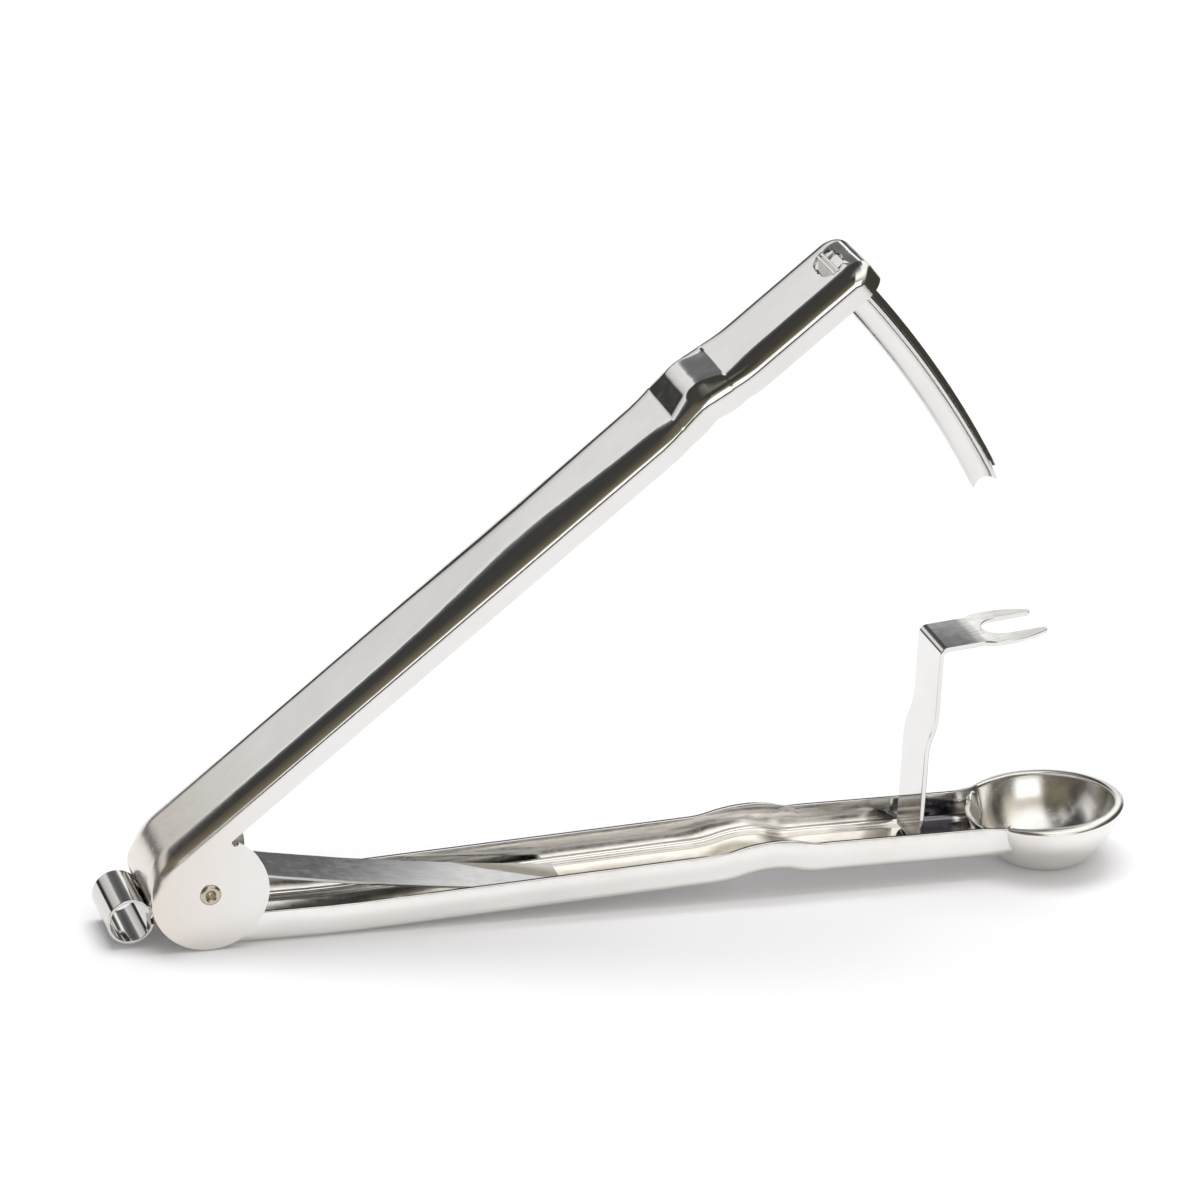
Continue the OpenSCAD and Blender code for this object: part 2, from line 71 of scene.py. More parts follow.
# %% Camera
aim = pivot + Vector((0.06573, 0.0, 0.0425))
azimuth, elevation, roll = math.radians(-18.07), math.radians(22.39), math.radians(2.97)
distance = 0.91495
forward = Vector((
    -math.sin(azimuth) * math.cos(elevation),
    math.cos(azimuth) * math.cos(elevation),
    -math.sin(elevation),
))
level = Vector((math.cos(azimuth), math.sin(azimuth), 0.0))
upward = level.cross(forward)
right = math.cos(roll) * level + math.sin(roll) * upward
up = right.cross(forward)
camera_data = bpy.data.cameras.new("photo_camera")
camera_data.lens = 169.77
camera_data.sensor_width = 36.0
camera_data.clip_end = 50.0
camera = bpy.data.objects.new("photo_camera", camera_data)
turn = Matrix((right, up, -forward)).transposed()
camera.matrix_world = Matrix.Translation(aim - distance * forward) @ turn.to_4x4()
bpy.context.scene.collection.objects.link(camera)
bpy.context.scene.camera = camera
print("camera at", tuple(round(v, 4) for v in camera.location))

# %% [markdown]
# ## Floor
# The tool lies on a white paper sweep. A plane is enough, but polished steel shows what stands round
# it, so the plane is large: no mirror of the metal finds its edge. A weak glow, seen by the camera and
# by mirrors alone, lifts the paper to white and leaves the soft shadow that the lamp draws.

# %% Floor: plane
PAPER_HALF = 15.0


def new_piece(name, bm):
    mesh = bpy.data.meshes.new(name)
    bm.to_mesh(mesh)
    bm.free()
    piece = bpy.data.objects.new(name, mesh)
    bpy.context.scene.collection.objects.link(piece)
    return piece


bm = bmesh.new()
bmesh.ops.create_grid(bm, x_segments=1, y_segments=1, size=PAPER_HALF)
paper = new_piece("paper_sweep", bm)
print("paper:", tuple(round(v, 2) for v in paper.dimensions))

# %% Floor: paper that glows a little
GLOW = 0.07


def new_finish(name):
    finish = bpy.data.materials.new(name)
    finish.use_nodes = True
    tree = finish.node_tree
    return finish, tree, tree.nodes["Principled BSDF"], tree.nodes["Material Output"]


def worked_out(tree, operation, *values):
    step = tree.nodes.new("ShaderNodeMath")
    step.operation = operation
    for socket, value in zip(step.inputs, values):
        if isinstance(value, float):
            socket.default_value = value
        else:
            tree.links.new(value, socket)
    return step.outputs[0]


finish, tree, shader, output = new_finish("white_paper")
shader.inputs["Base Color"].default_value = (0.88, 0.88, 0.91, 1.0)
shader.inputs["Roughness"].default_value = 0.9
shader.inputs["Specular IOR Level"].default_value = 0.0
light_path = tree.nodes.new("ShaderNodeLightPath")
looked_at = light_path.outputs["Is Camera Ray"]
for mirror_ray in ("Is Glossy Ray", "Is Transmission Ray"):
    looked_at = worked_out(tree, "MAXIMUM", looked_at, light_path.outputs[mirror_ray])
glow = tree.nodes.new("ShaderNodeEmission")
tree.links.new(worked_out(tree, "MULTIPLY", looked_at, GLOW), glow.inputs["Strength"])
both = tree.nodes.new("ShaderNodeAddShader")
tree.links.new(shader.outputs[0], both.inputs[0])
tree.links.new(glow.outputs[0], both.inputs[1])
tree.links.new(both.outputs[0], output.inputs["Surface"])
paper.data.materials.append(finish)
print("paper's finish:", len(tree.nodes), "nodes")

# %% [markdown]
# ## Light
# A mirror has no look of its own: a photographer shapes it with white and black cards. One large
# softbox overhead draws the soft shadow, and the metal doesn't mirror it. The cards are painted into the
# world instead of being built, so that they hide nothing. Each one is a ramp of colours from the horizon
# up to the zenith, and soft steps set them side by side. Behind the tool stands a low bright card, with
# dark above and below it, which is taller on the right, where the channel and the cup's rim mirror it.
# In front are a dark, warm corner on the left, which draws the dark bands on the plunger, a bright card
# beside the lens, and a warmer one on the right.

# %% Softbox
lamp_data = bpy.data.lights.new("overhead_softbox", "AREA")
lamp_data.shape = "RECTANGLE"
lamp_data.size, lamp_data.size_y = 1.3, 0.9
lamp_data.energy = 18.8
lamp = bpy.data.objects.new("overhead_softbox", lamp_data)
lamp.location = (0.05, 0.25, 1.7)
lamp.visible_glossy = False
lamp.rotation_euler = (-lamp.location).to_track_quat("-Z", "Y").to_euler()
bpy.context.scene.collection.objects.link(lamp)
print("softbox at", tuple(lamp.location))

# %% World: directions
world = bpy.data.worlds.new("studio")
bpy.context.scene.world = world
world.use_nodes = True
tree = world.node_tree
coordinate = tree.nodes.new("ShaderNodeTexCoord")
axes = tree.nodes.new("ShaderNodeSeparateXYZ")
tree.links.new(coordinate.outputs["Generated"], axes.inputs[0])
across = axes.outputs["X"]
height = worked_out(tree, "ARCSINE", axes.outputs["Z"])
print("world starts with", len(tree.nodes), "nodes")

# %% World: cards
ZENITH = 90.0


def map_range(tree, value, low, high, to_low=0.0, to_high=1.0, kind="LINEAR"):
    step = tree.nodes.new("ShaderNodeMapRange")
    step.interpolation_type = kind
    tree.links.new(value, step.inputs["Value"])
    ends = {"From Min": low, "From Max": high, "To Min": to_low, "To Max": to_high}
    for socket, number in ends.items():
        step.inputs[socket].default_value = number
    return step.outputs["Result"]


def sky(stops):
    ramp = tree.nodes.new("ShaderNodeValToRGB")
    tree.links.new(map_range(tree, height, 0.0, math.radians(ZENITH)), ramp.inputs["Fac"])
    while len(ramp.color_ramp.elements) < len(stops):
        ramp.color_ramp.elements.new(0.5)
    for element, (degrees, colour) in zip(ramp.color_ramp.elements, stops):
        element.position = degrees / ZENITH
        element.color = (*colour, 1.0)
    return ramp.outputs["Color"]


behind_left = sky([
    (0.0, (0.04, 0.04, 0.04)), (7.5, (0.05, 0.05, 0.05)), (10.0, (0.5, 0.49, 0.48)),
    (12.5, (0.68, 0.67, 0.66)), (18.0, (0.8, 0.79, 0.78)), (24.2, (0.95, 0.95, 0.95)),
    (25.6, (0.24, 0.24, 0.25)), (29.0, (0.1, 0.1, 0.105)), (33.0, (0.05, 0.05, 0.05)),
    (52.0, (0.06, 0.057, 0.05)), (64.0, (0.25, 0.24, 0.22)), (90.0, (0.6, 0.6, 0.59)),
])
behind_right = sky([
    (0.0, (0.04, 0.04, 0.04)), (10.0, (0.05, 0.05, 0.05)), (16.0, (0.12, 0.12, 0.123)),
    (19.5, (0.2, 0.2, 0.2)), (20.8, (1.2, 1.19, 1.17)), (24.2, (1.4, 1.39, 1.37)),
    (25.6, (0.24, 0.24, 0.25)), (29.0, (0.12, 0.12, 0.125)), (50.0, (0.16, 0.155, 0.15)),
    (62.0, (1.1, 1.1, 1.09)), (90.0, (1.1, 1.1, 1.1)),
])
behind_channel = sky([
    (0.0, (0.04, 0.04, 0.04)), (10.0, (0.05, 0.05, 0.05)), (16.0, (0.12, 0.12, 0.123)),
    (19.5, (0.2, 0.2, 0.2)), (20.8, (1.2, 1.19, 1.17)), (30.0, (1.3, 1.29, 1.27)),
    (46.0, (1.15, 1.14, 1.12)), (62.0, (1.1, 1.1, 1.09)), (90.0, (1.1, 1.1, 1.1)),
])
behind_rim = sky([
    (0.0, (0.25, 0.25, 0.25)), (7.0, (1.0, 0.99, 0.97)), (46.0, (1.15, 1.14, 1.12)),
    (90.0, (1.1, 1.1, 1.1)),
])
ahead_left = sky([
    (0.0, (0.06, 0.055, 0.045)), (20.0, (0.2, 0.178, 0.125)), (36.0, (0.15, 0.133, 0.093)),
    (52.0, (0.06, 0.054, 0.04)), (60.0, (0.045, 0.042, 0.033)), (75.0, (0.2, 0.19, 0.17)),
    (90.0, (0.6, 0.6, 0.59)),
])
ahead_middle = sky([
    (0.0, (0.05, 0.05, 0.045)), (7.0, (0.06, 0.06, 0.055)), (9.5, (1.5, 1.48, 1.44)),
    (33.0, (1.55, 1.53, 1.49)), (37.0, (0.55, 0.51, 0.42)), (46.0, (0.6, 0.57, 0.49)),
    (54.0, (1.1, 1.08, 1.02)), (64.0, (1.3, 1.29, 1.26)), (90.0, (1.0, 1.0, 0.99)),
])
ahead_right = sky([
    (0.0, (0.05, 0.05, 0.045)), (6.0, (0.1, 0.095, 0.085)), (21.0, (0.22, 0.21, 0.18)),
    (30.0, (0.5, 0.46, 0.37)), (42.0, (0.75, 0.71, 0.61)), (52.0, (1.1, 1.07, 1.0)),
    (62.0, (1.35, 1.34, 1.31)), (90.0, (1.1, 1.1, 1.1)),
])
print("cards and steps:", len(tree.nodes), "nodes")

# %% World: cards side by side
DARK_END = (0.06, 0.055, 0.045)


def blended(tree, factor, first, second):
    mix = tree.nodes.new("ShaderNodeMix")
    mix.data_type = "RGBA"
    tree.links.new(factor, mix.inputs["Factor"])
    for socket, colour in ((mix.inputs["A"], first), (mix.inputs["B"], second)):
        if isinstance(colour, tuple):
            socket.default_value = (*colour, 1.0)
        else:
            tree.links.new(colour, socket)
    return mix.outputs["Result"]


def beside(first, second, axis, start, end):
    return blended(tree, map_range(tree, axis, start, end, kind="SMOOTHSTEP"), first, second)


behind = beside(behind_left, behind_right, across, 0.05, 0.25)
behind = beside(behind, behind_channel, across, 0.3, 0.34)
behind = beside(behind, behind_rim, across, 0.43, 0.47)
ahead = beside(ahead_left, ahead_middle, across, -0.38, -0.22)
ahead = beside(ahead, ahead_right, across, 0.27, 0.48)
room = beside(ahead, behind, axes.outputs["Y"], -0.15, 0.3)
room = beside(room, DARK_END, across, 0.64, 0.76)
tree.links.new(room, tree.nodes["Background"].inputs["Color"])
print("world:", len(tree.nodes), "nodes")

# %% [markdown]
# ## Steel
# Both arms, the rivet, the plunger and the fork are stainless steel, tumbled and polished. A metal's
# base colour is its mirror colour. The finish is never even: a slow waviness bends the mirror, a finer
# noise varies the roughness, and stretched noise draws hairline scratches along the arms. The deep-drawn
# lower arm came out of its die a little duller than the upper one. The spring is coloured darker, and
# lighter again towards its loop. The rivet is a warmer, softer steel, and its darker colour is partly its
# own tone and partly painted shade round its rolled ring. Each finish also changes along an axis: it
# grows duller where hands hold it or towards the cup, and its colour changes: a warm stain at the
# rivet's end, and on the fork's foot a grey that is a painted dark reflection.

# %% Steel: one recipe
CLOUDS, SPECKS, WAVES = (90.0, 3.0), (700.0, 3.0), (160.0, 1.0)
HAIRLINES, HAIR_ROUGH = (60.0, 4.0, (1.0, 30.0, 30.0)), 0.05


def split_place(tree):
    place = tree.nodes.new("ShaderNodeTexCoord").outputs["Object"]
    split = tree.nodes.new("ShaderNodeSeparateXYZ")
    tree.links.new(place, split.inputs[0])
    return place, split.outputs


def steel_finish(name, colour, dark, smooth, rough, wave, grain, duller, tinted):
    finish, tree, shader, _ = new_finish(name)
    shader.inputs["Metallic"].default_value = 1.0
    place, along = split_place(tree)

    def noise(scale, detail, stretch=(1.0, 1.0, 1.0)):
        mapping = tree.nodes.new("ShaderNodeMapping")
        mapping.inputs["Scale"].default_value = stretch
        tree.links.new(place, mapping.inputs["Vector"])
        texture = tree.nodes.new("ShaderNodeTexNoise")
        texture.inputs["Scale"].default_value = scale
        texture.inputs["Detail"].default_value = detail
        tree.links.new(mapping.outputs["Vector"], texture.inputs["Vector"])
        return texture.outputs["Fac"]

    def bump(heights, deep):
        step = tree.nodes.new("ShaderNodeBump")
        step.inputs["Strength"].default_value = 1.0
        step.inputs["Distance"].default_value = deep
        tree.links.new(heights, step.inputs["Height"])
        return step

    tint = blended(tree, map_range(tree, noise(*CLOUDS), 0.3, 0.6), dark, colour)
    axis, start, full, stain = tinted
    stained = blended(tree, map_range(tree, along[axis], start, full), tint, stain)
    tree.links.new(stained, shader.inputs["Base Color"])
    hairlines = noise(*HAIRLINES)
    specks = map_range(tree, noise(*SPECKS), 0.35, 0.7, smooth, rough)
    hairs = map_range(tree, hairlines, 0.6, 0.72, 0.0, HAIR_ROUGH)
    roughness = worked_out(tree, "ADD", specks, hairs)
    start, full, extra = duller
    dull = map_range(tree, along["X"], start, full, 0.0, extra)
    tree.links.new(worked_out(tree, "ADD", roughness, dull), shader.inputs["Roughness"])
    waviness, scratches = bump(noise(*WAVES), wave), bump(hairlines, grain)
    tree.links.new(waviness.outputs["Normal"], scratches.inputs["Normal"])
    tree.links.new(scratches.outputs["Normal"], shader.inputs["Normal"])
    return finish


print("recipe: clouds, specks, hairlines and waves")

# %% Steel: five finishes
HANDLED, CUP_SIDE = (-0.06, -0.077, 0.16), (0.055, 0.066, 0.08)
WARM_END = ("X", -0.062, -0.08, (0.76, 0.715, 0.66))
ROLLED_END = ("X", -0.062, -0.08, (0.52, 0.46, 0.38))
LOOP_END = ("X", -0.07, -0.085, (0.66, 0.645, 0.62))
# The fork is painted grey low down, on its foot: a painted dark reflection.
FOOT_DARK_REFLECTION = ("Z", 0.0072, 0.0056, (0.2, 0.2, 0.22))
polished_steel = steel_finish(
    "polished_steel", colour=(0.82, 0.81, 0.79), dark=(0.78, 0.77, 0.745), smooth=0.05, rough=0.1,
    wave=0.00005, grain=0.000004, duller=HANDLED, tinted=WARM_END)
# The rivet's darker colour is partly its own warm tone and partly painted shade round its rolled ring.
rivet_steel_and_shade = steel_finish(
    "rivet_steel_and_shade", colour=(0.64, 0.585, 0.5), dark=(0.54, 0.48, 0.4), smooth=0.12, rough=0.2,
    wave=0.00002, grain=0.000004, duller=HANDLED, tinted=ROLLED_END)
drawn_steel = steel_finish(
    "drawn_steel", colour=(0.88, 0.865, 0.84), dark=(0.84, 0.825, 0.795), smooth=0.1, rough=0.17,
    wave=0.00004, grain=0.000003, duller=CUP_SIDE, tinted=WARM_END)
# The spring's colour is darker, and lighter again towards its loop.
spring_steel = steel_finish(
    "spring_steel", colour=(0.56, 0.56, 0.565), dark=(0.51, 0.51, 0.515), smooth=0.05, rough=0.09,
    wave=0.000006, grain=0.000001, duller=CUP_SIDE, tinted=LOOP_END)
strip_steel = steel_finish(
    "strip_steel", colour=(0.82, 0.81, 0.79), dark=(0.78, 0.77, 0.745), smooth=0.06, rough=0.1,
    wave=0.00001, grain=0.000003, duller=CUP_SIDE, tinted=FOOT_DARK_REFLECTION)
finishes = (polished_steel, rivet_steel_and_shade, drawn_steel, spring_steel, strip_steel)
print("finishes:", *(f.name for f in finishes))

# %% [markdown]
# The floor between the fork's weld and the cup is painted slate grey: a painted dark reflection. A
# painted image could mark it, but a box drawn in object coordinates needs no unwrapping: each of its
# sides is a soft step, and the steps are multiplied.

# %% Painted dark reflection on the floor by the weld
SLATE_REFLECTION = (0.2, 0.195, 0.22)
SLATE_REFLECTION_SIDES = [
    ("X", 0.0538, 0.0548), ("X", 0.0618, 0.0608), ("Y", -0.00745, -0.0073), ("Y", 0.00745, 0.0073),
    ("Z", 0.0040, 0.0043), ("Z", 0.0090, 0.0082),
]
tree = drawn_steel.node_tree
base = tree.nodes["Principled BSDF"].inputs["Base Color"]
_, along = split_place(tree)
inside = 1.0
for axis, outer, inner in SLATE_REFLECTION_SIDES:
    inside = worked_out(tree, "MULTIPLY", inside, map_range(tree, along[axis], outer, inner))
tree.links.new(blended(tree, inside, base.links[0].from_socket, SLATE_REFLECTION), base)
print("slate floor:", len(SLATE_REFLECTION_SIDES), "soft sides")

# %% [markdown]
# ## One pencil for everything
# Each piece of this tool is a strip or sheet that was bent along a line, so one operator can draw all
# of them: spin. Spun about an axis it makes a bend, and with an angle of zero and a step vector it makes
# a straight. Sizes are in millimetres from the rivet's axis, as on a drawing, and a last transform
# carries them into the frame in metres.

# %% Pencil
def pull(bm, front, move):
    return bmesh.ops.spin(bm, geom=front, axis=(0, 0, 1), dvec=move, angle=0.0, steps=1)["geom_last"]


def swing(bm, front, centre, axis, degrees, fineness=6.0):
    steps = max(1, math.ceil(abs(degrees) / fineness))
    return bmesh.ops.spin(
        bm, geom=front, cent=centre, axis=axis, angle=math.radians(degrees), steps=steps)["geom_last"]


def sweep(bm, front, place, steps, fineness=3.0):
    x, z, heading = place
    for length, bend, radius in steps:
        slope = math.radians(heading)
        if length:
            move = length * Vector((math.cos(slope), 0.0, math.sin(slope)))
            front = pull(bm, front, move)
            x, z = x + move.x, z + move.z
        if bend:
            reach = math.copysign(radius, bend)
            centre = Vector((x - reach * math.sin(slope), 0.0, z + reach * math.cos(slope)))
            front = swing(bm, front, centre, (0, -1, 0), bend, fineness)
            heading += bend
            slope = math.radians(heading)
            x, z = centre.x + reach * math.sin(slope), centre.z - reach * math.cos(slope)
    return front, (x, z, heading)


def whole(bm):
    return bm.verts[:] + bm.edges[:] + bm.faces[:]


def set_at(bm, place):
    x, z, heading = place
    matrix = Matrix.Translation((x, 0, z)) @ Matrix.Rotation(-math.radians(heading), 4, "Y")
    bmesh.ops.transform(bm, matrix=matrix, verts=bm.verts)


print("pencil: pull, swing, sweep")

# %% [markdown]
# ## From drawing to piece
# A drawn sheet has no thickness yet. Solidify gives it the real one, Bevel breaks the sharp rims as
# tumbling does, and Weighted Normal keeps the large flats flat in the mirror while the edges stay round.
# Where short edges leave the bevel next to no room, a Weld merges the needles that it makes. Before all
# this the faces are made to agree, and one face that must look outwards tells whether to turn them.

# %% Making a piece
MM, JOIN = 0.001, 0.008
SHEET, OPEN_ANGLE = 0.8, 40.3


def into_frame(bm, tilt=0.0):
    turned = Matrix.Translation(pivot) @ Matrix.Rotation(-math.radians(tilt), 4, "Y")
    bmesh.ops.transform(bm, matrix=turned @ Matrix.Scale(MM, 4), verts=bm.verts)


def outermost(axis, side):
    def looks_out(bm):
        face = max(bm.faces, key=lambda f: side * f.calc_center_median()[axis])
        return side * face.normal[axis] > 0
    return looks_out


def make_piece(name, bm, tilt, outside, sheet=None, grow=-1.0, rim=0.26, clean=0.0):
    bmesh.ops.remove_doubles(bm, verts=bm.verts, dist=JOIN)
    bmesh.ops.dissolve_degenerate(bm, edges=bm.edges, dist=JOIN)
    bmesh.ops.recalc_face_normals(bm, faces=bm.faces)
    if not outside(bm):
        bmesh.ops.reverse_faces(bm, faces=bm.faces)
    for face in bm.faces:
        face.smooth = True
    into_frame(bm, tilt)
    piece = new_piece(name, bm)
    if sheet:
        wall = piece.modifiers.new("sheet", "SOLIDIFY")
        wall.thickness = sheet * MM
        wall.offset = grow
        wall.use_even_offset = True
    if rim:
        edge = piece.modifiers.new("tumbled_rims", "BEVEL")
        edge.width = rim * MM
        edge.segments = 3
        edge.limit_method = "ANGLE"
        edge.angle_limit = math.radians(38.0)
    if clean:
        joined = piece.modifiers.new("clean", "WELD")
        joined.merge_threshold = clean * MM
    flats = piece.modifiers.new("flats", "WEIGHTED_NORMAL")
    flats.weight = 80
    return piece


def seat(piece, body, node, finish):
    piece.data.materials.append(finish)
    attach(piece, body)
    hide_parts(node)
    low, high = (Vector(corner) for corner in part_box(node))
    print(piece.name, "stands for", node, "of", tuple(round(1000 * v, 1) for v in high - low), "mm")


print("sheet:", SHEET, "mm, arms open by", OPEN_ANGLE, "degrees")

# %% [markdown]
# ## Upper arm
# The upper arm is one pressing: a channel with round edges that wraps round the rivet, two ears, a hump
# and a drawn tip. It could be cut from a block with booleans, but a press bends a sheet, and so does
# this: half a section is drawn, swept along the crown and spun round the tip's corner, and a mirror
# gives the other half.

# %% Upper arm: half a channel, swept
WIDTH, DEPTH, EDGE = 18.0, 4.9, 2.2
SHOULDER_R, SHOULDER_ANGLE = 8.0, 20.0
EAR, TIP_END, LAST_STATION = 9.7, 145.4, 134.5
CROWN_START = (-8.40045, 4.85, 60.0)
EAR_END = 8.6
HUMP_AT, STATIONS = 105.3, 24
station = (HUMP_AT - EAR_END) / STATIONS
CROWN_STEPS = [(0.0, -60.0, EAR), (EAR_END, 0, 0)] + [(station, 0, 0)] * (STATIONS - 1) + [
    (station / 2, 0, 0), (station / 2, 18.0, 1.5), (1.73466, 0, 0), (1.73466, -18.0, 5.2),
    (0.6, -22.0, 5.2), (1.551135, 0, 0), (1.551135, 22.0, 1.5), (2.0, 0, 0), (2.0, 0, 0), (2.0, 0, 0),
    (11.844, 0, 0),
]
tilt = math.radians(SHOULDER_ANGLE)
half = WIDTH / 2
dip = SHOULDER_R * (1 - math.cos(tilt))
round_h = dip + EDGE * math.cos(tilt)
round_w = SHOULDER_R * math.sin(tilt) + EDGE * (1 - math.sin(tilt))
flat_y = half - round_w
CROWN_STEPS.append((TIP_END - round_w - LAST_STATION, 0, 0))
bm = bmesh.new()
line = pull(bm, [bm.verts.new((0, -half, -DEPTH))], (0, 0, DEPTH - round_h))
line = swing(bm, line, (0, EDGE - half, -round_h), (1, 0, 0), SHOULDER_ANGLE - 90.0, 7.0)
line = swing(bm, line, (0, -flat_y, -SHOULDER_R), (1, 0, 0), -SHOULDER_ANGLE, 2.5)
line = pull(bm, line, (0, flat_y, 0))
bmesh.ops.remove_doubles(bm, verts=bm.verts, dist=0.0001)
set_at(bm, CROWN_START)
front, tip_place = sweep(bm, whole(bm), CROWN_START, CROWN_STEPS)
print("upper arm's tip corner at", tuple(round(v, 3) for v in tip_place))

# %% [markdown]
# The press left the crown a little fuller about two thirds of the way to the hump: there the soft
# shoulder starts further in, which draws the long dark wave along the near edge. The points are moved
# by a rule, as a sculpting brush would do it, but evenly.

# %% Upper arm: fuller crown before the hump
FULLER, FULLEST_AT, FULLER_OVER = 2.3, 74.0, 17.0
for vert in bm.verts:
    if not EAR_END < vert.co.x < HUMP_AT or vert.co.z < EAR - dip - 0.001:
        continue
    fuller = FULLER * math.exp(-((vert.co.x - FULLEST_AT) / FULLER_OVER) ** 2)
    lean = max(0.0, (-vert.co.y - flat_y) / SHOULDER_R)
    radius = SHOULDER_R + fuller / math.sin(tilt)
    vert.co.z = EAR + radius * (math.sqrt(1 - lean * lean) - math.cos(tilt)) - dip
    if vert.co.y < 0.001 - flat_y:
        vert.co.y = fuller - flat_y - radius * lean
print("crown's top:", round(max(v.co.z for v in bm.verts if EAR_END < v.co.x < HUMP_AT), 3))

# %% [markdown]
# Across the hump the flat is folded crisply, but the round edge was drawn over the die and flows past it
# in one soft wave. Each point beside the flat is moved to the mean of the crown's height round it, more
# so the further out it lies.

# %% Upper arm: edge flows past the hump
spine = sorted((v.co.x, v.co.z) for v in bm.verts if abs(v.co.y) < 0.001 and v.co.x > EAR_END + 1.0)
WAVE, HUMP_LEN, SAMPLES = 4.5, 12.0, 8


def crown_height(x):
    for (x_low, z_low), (x_high, z_high) in zip(spine, spine[1:]):
        if x_low <= x < x_high:
            return z_low + (z_high - z_low) * (x - x_low) / (x_high - x_low)
    return spine[-1][1]


def calm_height(x):
    offsets = range(-SAMPLES, SAMPLES + 1)
    return sum(crown_height(x + WAVE * step / SAMPLES) for step in offsets) / len(offsets)


def eased(share):
    share = min(1.0, max(0.0, share))
    return share * share * (3.0 - 2.0 * share)


for vert in bm.verts:
    if HUMP_AT - WAVE < vert.co.x < HUMP_AT + HUMP_LEN + WAVE:
        outward = eased((-vert.co.y - flat_y) / (round_w - EDGE / 2))
        vert.co.z += outward * (calm_height(vert.co.x) - crown_height(vert.co.x))
print("edge flows past the hump within", WAVE, "mm of it")

# %% [markdown]
# The tip is drawn round like the edges, so the part of the section beside the flat is spun by a quarter
# turn about the corner and pulled on to the middle.

# %% Upper arm: drawn tip
def beside_flat(element):
    points = element.verts if isinstance(element, bmesh.types.BMEdge) else [element]
    return all(v.co.y < 0.001 - flat_y for v in points)


outer = [g for g in front if beside_flat(g)]
outer = swing(bm, outer, (tip_place[0], -flat_y, 0), (0, 0, 1), 90.0, 6.0)
pull(bm, outer, (0, flat_y, 0))
bmesh.ops.remove_doubles(bm, verts=bm.verts, dist=0.001)
print("tip reaches", round(max(v.co.x for v in bm.verts), 3))

# %% [markdown]
# Behind the rivet the round edge runs out: the crown's end is cut square and lies flat on the ears.
# Each point of the round slides towards the square corner as the wrap comes to its end.

# %% Upper arm: edge runs out behind the rivet
RUN_OUT_FROM, RUN_OUT_OVER = 118.0, 31.9


def on_ring(radius, degrees, y):
    slant = math.radians(degrees)
    return Vector((radius * math.cos(slant), y, radius * math.sin(slant)))


for vert in bm.verts:
    radius, angle = math.hypot(vert.co.x, vert.co.z), math.degrees(math.atan2(vert.co.z, vert.co.x))
    rise, out = (radius - EAR + round_h) / round_h, (-flat_y - vert.co.y) / round_w
    if vert.co.x > 0.0 or angle < RUN_OUT_FROM or rise < 0.0 or out < 0.0:
        continue
    run_out = eased((angle - RUN_OUT_FROM) / RUN_OUT_OVER)
    longest = max(rise, out, 1e-6)
    rise, out = (v + (v / longest - v) * run_out for v in (rise, out))
    vert.co = on_ring(EAR - round_h + round_h * rise, angle, -flat_y - round_w * out)
print("edge runs out over", RUN_OUT_OVER, "degrees")

# %% [markdown]
# Each ear is a flat plate with a round outline, a small relief where it leaves the rim, and a bore.
# Its outline is drawn with the same pencil, and triangle_fill closes it round the bore in one go.

# %% Upper arm: ears
WRAP_END, EAR_STOP, RELIEF_Z, RELIEF_SWING = 150.0, 22.54, 4.2, -216.7


def fill_ear(bm, side, bore, reach, last_x):
    upright = Matrix.Translation((0, -side, 0)) @ Matrix.Rotation(math.radians(90), 4, "X")
    bmesh.ops.create_circle(bm, segments=40, radius=bore, matrix=upright)
    bmesh.ops.remove_doubles(bm, verts=bm.verts, dist=0.02)
    plane = [e for e in bm.edges if all(
        abs(v.co.y + side) < 0.001 and math.hypot(v.co.x, v.co.z) < reach for v in e.verts)]
    outline = [e for e in plane if not e.link_faces or (
        len(e.link_faces) == 1 and all(v.co.x < last_x + 0.01 for v in e.verts))]
    made = bmesh.ops.triangle_fill(bm, use_beauty=True, edges=outline, normal=(0, -1, 0))["geom"]
    print("ear:", len(outline), "edges,", sum(isinstance(g, bmesh.types.BMFace) for g in made), "faces")


ear_corner = on_ring(EAR, WRAP_END, -half)
at_ear = min(bm.verts, key=lambda v: (v.co - ear_corner).length)
at_ear.co = ear_corner
line = swing(bm, [at_ear], (0, -half, 0), (0, -1, 0), 360.0 + EAR_STOP - WRAP_END, 5.0)
swing(bm, line, (EAR_END, -half, RELIEF_Z), (0, -1, 0), RELIEF_SWING, 15.0)
fill_ear(bm, half, bore=1.52, reach=EAR + 0.2, last_x=EAR_END)
bmesh.ops.mirror(bm, geom=whole(bm), axis="Y", merge_dist=0.001)

# %% [markdown]
# The plunger is staked into a hole in the crown: a long round-ended slot with a notch at each of its
# four sides. A quarter of that outline is drawn and mirrored twice, and the crown's flat is filled
# again round it.

# %% Upper arm: hole for the plunger's stake
HOLE_X, CROWN_Z = 140.5, tip_place[1]
FLAT_FROM, FLAT_TO = 134.3, 143.35


def on_top(element):
    return all(
        abs(v.co.y) < flat_y + 0.01 and FLAT_FROM < v.co.x < FLAT_TO and v.co.z > CROWN_Z - 0.4
        for v in element.verts)


def with_edges(verts):
    return verts + list(dict.fromkeys(e for v in verts for e in v.link_edges))


